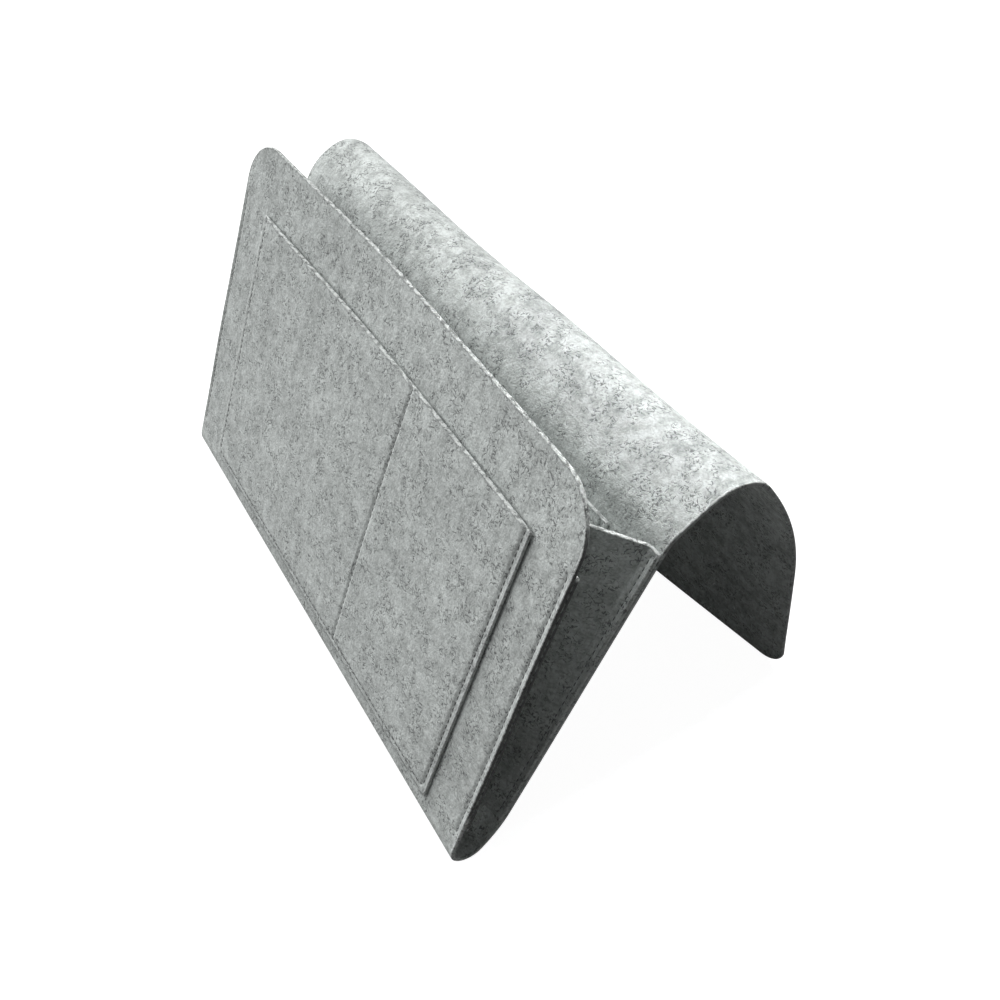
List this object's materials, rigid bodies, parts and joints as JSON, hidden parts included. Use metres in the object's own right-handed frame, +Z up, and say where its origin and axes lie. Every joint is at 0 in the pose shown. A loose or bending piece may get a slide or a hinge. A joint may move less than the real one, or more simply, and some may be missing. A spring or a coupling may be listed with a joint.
{
  "type": "bedside caddy",
  "caption": "Bedside caddy of grey felt: a pocket with bellows gussets, a flat divided outer pocket and a flap that bends over to be held under a mattress.",
  "frame": {"origin": "on the ground, under the middle of the footprint", "axes": "+X along the caddy to the right, +Y from the front panel to the flap, +Z up"},
  "size_m": [0.32, 0.1804, 0.1793],
  "materials": {
    "felt": "matte heather wool felt, fuzzy",
    "thread": "matte sewing thread"
  },
  "bodies": {
    "back": {"back_panel": "felt", "bottom_fold": "felt", "inner_sleeve": "felt", "gusset_left_rear_flange": "felt", "gusset_right_rear_flange": "felt", "gusset_left_rear_half": "felt", "gusset_right_rear_half": "felt", "seam_rear_left": "thread", "seam_rear_right": "thread", "seam_inner_sleeve": "thread"},
    "front": {"front_panel": "felt", "outer_pocket": "felt", "gusset_left_front_flange": "felt", "gusset_right_front_flange": "felt", "gusset_left_front_half": "felt", "gusset_right_front_half": "felt", "seam_front_left": "thread", "seam_front_right": "thread", "seam_outer_pocket": "thread", "seam_pocket_divider": "thread"},
    "flap_1": {"flap_strip_1": "felt"},
    "flap_2": {"flap_strip_2": "felt"},
    "flap_3": {"flap_strip_3": "felt"},
    "flap_4": {"flap_strip_4": "felt"},
    "flap_5": {"flap_strip_5": "felt"},
    "flap_6": {"flap_strip_6": "felt"},
    "flap_end": {"flap_tail": "felt"}
  },
  "joints": [
    {"name": "front_open", "type": "hinge", "parent": "back", "child": "front", "pos_m": [0, -0.08829, 0.01269], "axis": [1, 0, 0], "range_deg": [-4, 6], "deforming": ["gusset_left_front_half", "gusset_left_rear_half", "gusset_right_front_half", "gusset_right_rear_half"]},
    {"name": "flap_bend_1", "type": "hinge", "parent": "back", "child": "flap_1", "pos_m": [0, 0.01893, 0.14064], "axis": [0.9997, 0.0207, -0.0137], "range_deg": [-1.27, 11.01]},
    {"name": "flap_bend_2", "type": "hinge", "parent": "flap_1", "child": "flap_2", "pos_m": [0, 0.02473, 0.14657], "axis": [0.9996, 0.0242, -0.0165], "range_deg": [-2.32, 20.26]},
    {"name": "flap_bend_3", "type": "hinge", "parent": "flap_2", "child": "flap_3", "pos_m": [0, 0.04117, 0.15437], "axis": [0.9995, 0.025, -0.0198], "range_deg": [-3.55, 31.01]},
    {"name": "flap_bend_4", "type": "hinge", "parent": "flap_3", "child": "flap_4", "pos_m": [0, 0.05532, 0.15298], "axis": [0.9996, 0.0263, -0.0061], "range_deg": [-5, 43.75]},
    {"name": "flap_bend_5", "type": "hinge", "parent": "flap_4", "child": "flap_5", "pos_m": [0, 0.06578, 0.14081], "axis": [0.9991, 0.0411, 0.0066], "range_deg": [-3.07, 26.76]},
    {"name": "flap_bend_6", "type": "hinge", "parent": "flap_5", "child": "flap_6", "pos_m": [0, 0.07245, 0.11385], "axis": [0.9976, 0.0686, 0.0134], "range_deg": [-1.12, 9.69]},
    {"name": "flap_bend_7", "type": "hinge", "parent": "flap_6", "child": "flap_end", "pos_m": [0, 0.07569, 0.07004], "axis": [0.9958, 0.0901, 0.0146], "range_deg": [-0.57, 4.93]}
  ],
  "couplings": [
    {"joint": "flap_bend_1", "follows": "flap_bend_4", "ratio": 0.25143},
    {"joint": "flap_bend_2", "follows": "flap_bend_4", "ratio": 0.46286},
    {"joint": "flap_bend_3", "follows": "flap_bend_4", "ratio": 0.70857},
    {"joint": "flap_bend_5", "follows": "flap_bend_4", "ratio": 0.61143},
    {"joint": "flap_bend_6", "follows": "flap_bend_4", "ratio": 0.22114},
    {"joint": "flap_bend_7", "follows": "flap_bend_4", "ratio": 0.11257}
  ]
}
